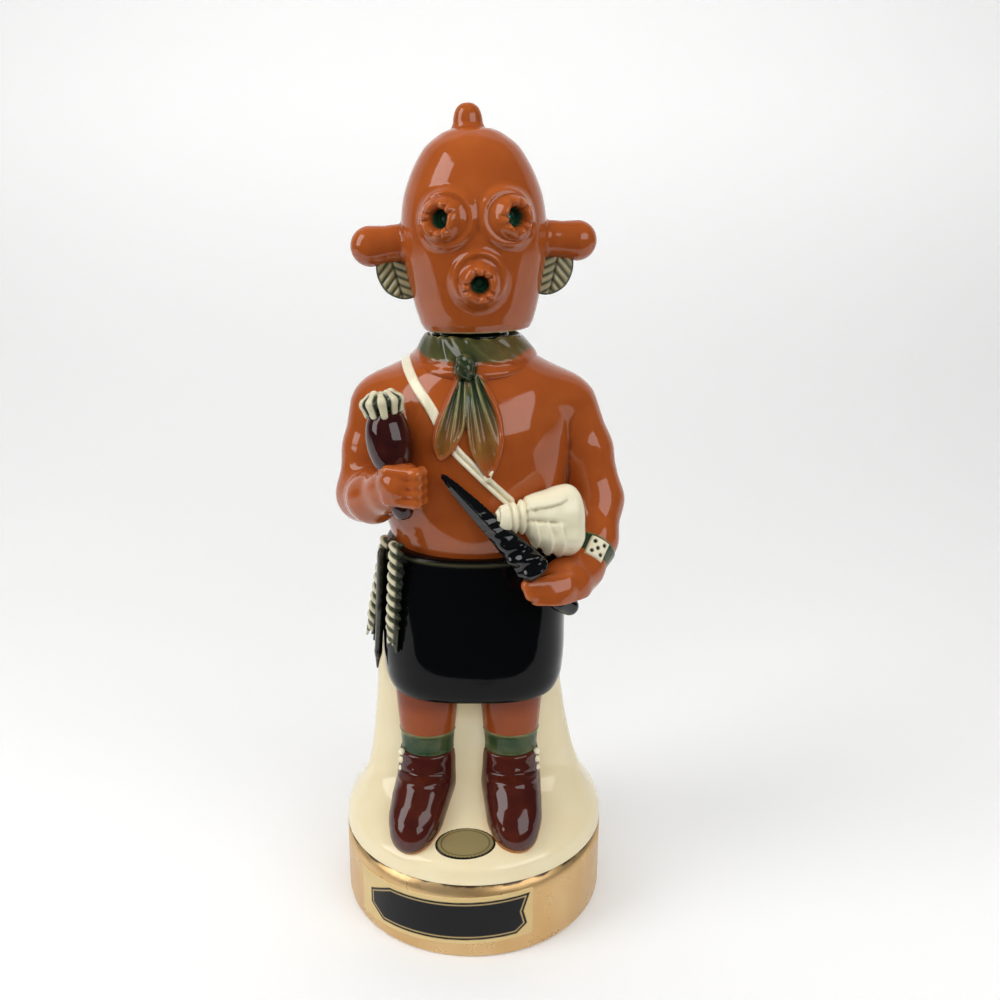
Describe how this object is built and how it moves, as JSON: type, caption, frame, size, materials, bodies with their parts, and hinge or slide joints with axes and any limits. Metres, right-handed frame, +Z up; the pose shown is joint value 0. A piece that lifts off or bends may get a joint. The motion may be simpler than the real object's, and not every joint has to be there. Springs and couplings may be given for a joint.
{
  "type": "figural liquor decanter",
  "caption": "Glazed china liquor decanter shaped as a masked dancer on a round gold-banded plinth, with a lift-off head stopper on a cork.",
  "frame": {"origin": "middle of the plinth's flat underside", "axes": "+Z up, the dancer faces -Y, its right hand with the rattle is towards -X"},
  "size_m": [0.1113, 0.1084, 0.3146],
  "materials": {
    "skin_glaze": "glossy orange-brown glaze",
    "cream_glaze": "glossy cream glaze",
    "black_glaze": "glossy black glaze",
    "green_glaze": "glossy dark green glaze that breaks to amber on edges",
    "oxblood_glaze": "glossy oxblood brown glaze",
    "feather_glaze": "cream glaze with dark green brush strokes",
    "gold_lustre": "fired gold lustre, worn at the edge",
    "label_paper": "black coated paper with a cream border",
    "seal_foil": "gold foil sticker",
    "cork": "natural cork"
  },
  "bodies": {
    "decanter": {"plinth": "gold_lustre", "mound": "cream_glaze", "kilt": "black_glaze", "torso": "skin_glaze", "neck_finish": "green_glaze", "leg_right": "skin_glaze", "leg_left": "skin_glaze", "garter_right": "green_glaze", "garter_left": "green_glaze", "boot_right": "oxblood_glaze", "boot_left": "oxblood_glaze", "boot_beads_right": "cream_glaze", "boot_beads_left": "cream_glaze", "arm_right": "skin_glaze", "arm_left": "skin_glaze", "shoulder_strap": "cream_glaze", "scarf_collar": "green_glaze", "scarf_knot": "green_glaze", "scarf_tail_right": "green_glaze", "scarf_tail_left": "green_glaze", "rattle_handle": "oxblood_glaze", "rattle_gourd": "oxblood_glaze", "rattle_feathers": "feather_glaze", "hand_right": "skin_glaze", "hand_left": "skin_glaze", "whip_blade": "black_glaze", "whip_grip": "black_glaze", "whip_butt": "black_glaze", "bow_guard": "green_glaze", "bow_guard_plaque": "cream_glaze", "bag": "cream_glaze", "sash_cord_front": "feather_glaze", "sash_cord_rear": "feather_glaze", "belt_end": "black_glaze", "front_label": "label_paper", "foil_seal": "seal_foil"},
    "cork": {"cork_plug": "cork"},
    "head": {"head_shell": "skin_glaze", "crown_knob": "skin_glaze", "ear_right": "skin_glaze", "ear_left": "skin_glaze", "ear_feather_right": "feather_glaze", "ear_feather_left": "feather_glaze", "mouth_ring": "skin_glaze", "eye_ring_right": "skin_glaze", "eye_ring_left": "skin_glaze"}
  },
  "joints": [
    {"name": "head_lift", "type": "slide", "parent": "decanter", "child": "cork", "axis": [0, 0, 1], "range_m": [0, 0.06]},
    {"name": "head_turn", "type": "hinge", "parent": "cork", "child": "head", "pos_m": [0, 0, 0.2362], "axis": [0, 0, 1], "continuous": true}
  ]
}
